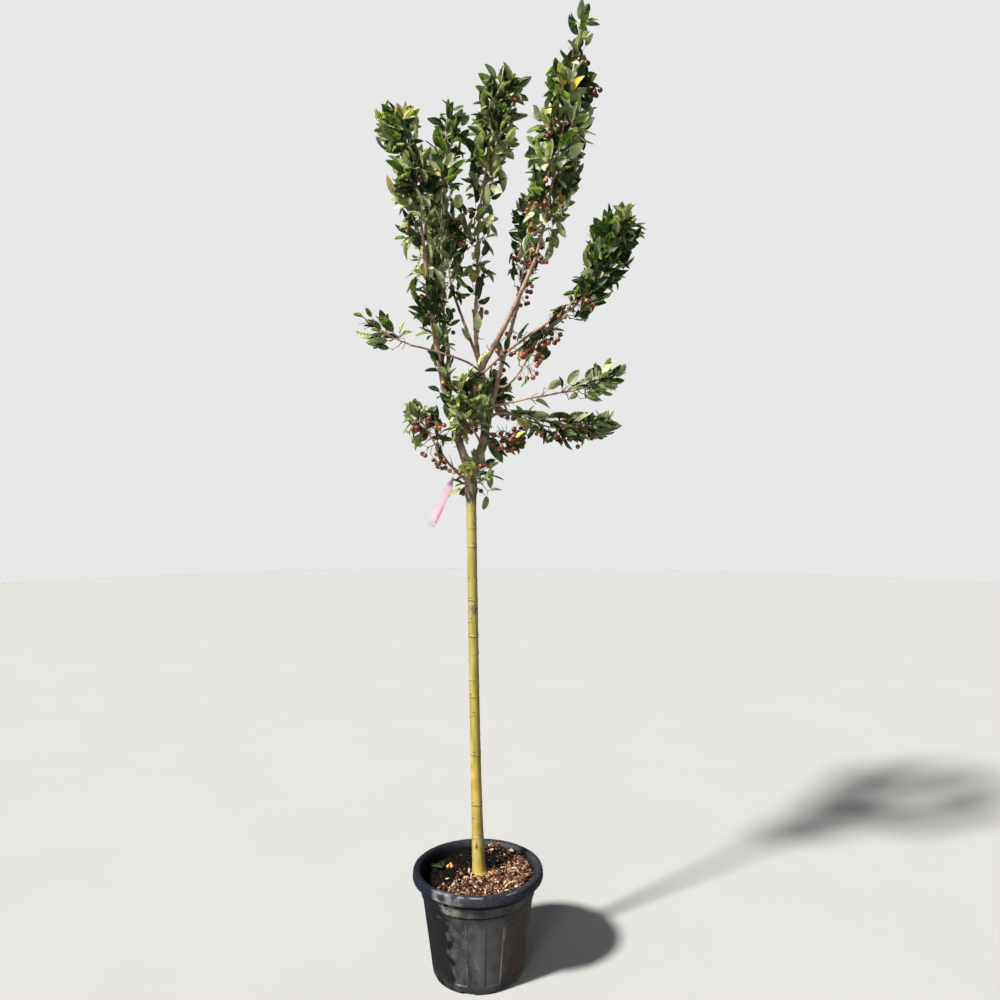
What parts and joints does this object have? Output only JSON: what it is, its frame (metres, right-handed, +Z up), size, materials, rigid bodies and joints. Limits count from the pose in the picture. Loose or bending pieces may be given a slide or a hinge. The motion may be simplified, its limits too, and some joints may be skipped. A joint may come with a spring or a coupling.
{
  "type": "potted japanese flowering crabapple tree",
  "caption": "Young top-grafted crabapple tree on a straight bare stem, with upright leafy boughs and small fruit, in a ribbed nursery pot filled with bark.",
  "frame": {"origin": "centre of the pot's flat underside", "axes": "+Z up the tree, -Y towards the viewer of the picture, +X to the viewer's right"},
  "size_m": [0.862, 0.5118, 2.9134],
  "materials": {
    "pot": "dusty black moulded plastic",
    "mulch": "rough bark chips",
    "trunk": "smooth yellow-green bark with ring scars",
    "bough": "smooth brown bark",
    "leaves": "glossy dark green leaves",
    "tag": "blank pale pink plastic strip"
  },
  "bodies": {
    "root": {"bark_mulch": "mulch", "bough_back_low": "bough", "bough_centre": "bough", "bough_centre_leader": "bough", "bough_front_spray": "bough", "bough_left_back": "bough", "bough_left_front": "bough", "bough_left_inner": "bough", "bough_left_low": "bough", "bough_left_reach": "bough", "bough_low_cluster": "bough", "bough_right_front": "bough", "bough_right_high": "bough", "bough_right_inner": "bough", "bough_right_knot": "bough", "bough_right_leader": "bough", "bough_right_low": "bough", "bough_right_main": "bough", "foliage_back_low": "leaves", "foliage_centre": "leaves", "foliage_front": "leaves", "foliage_left_back": "leaves", "foliage_left_front": "leaves", "foliage_left_inner": "leaves", "foliage_left_low": "leaves", "foliage_left_reach": "leaves", "foliage_low_cluster": "leaves", "foliage_right_front": "leaves", "foliage_right_high": "leaves", "foliage_right_inner": "leaves", "foliage_right_knot": "leaves", "foliage_right_leader": "leaves", "foliage_right_low": "leaves", "foliage_union": "leaves", "pot": "pot", "tag": "tag", "trunk": "trunk"}
  },
  "joints": []
}
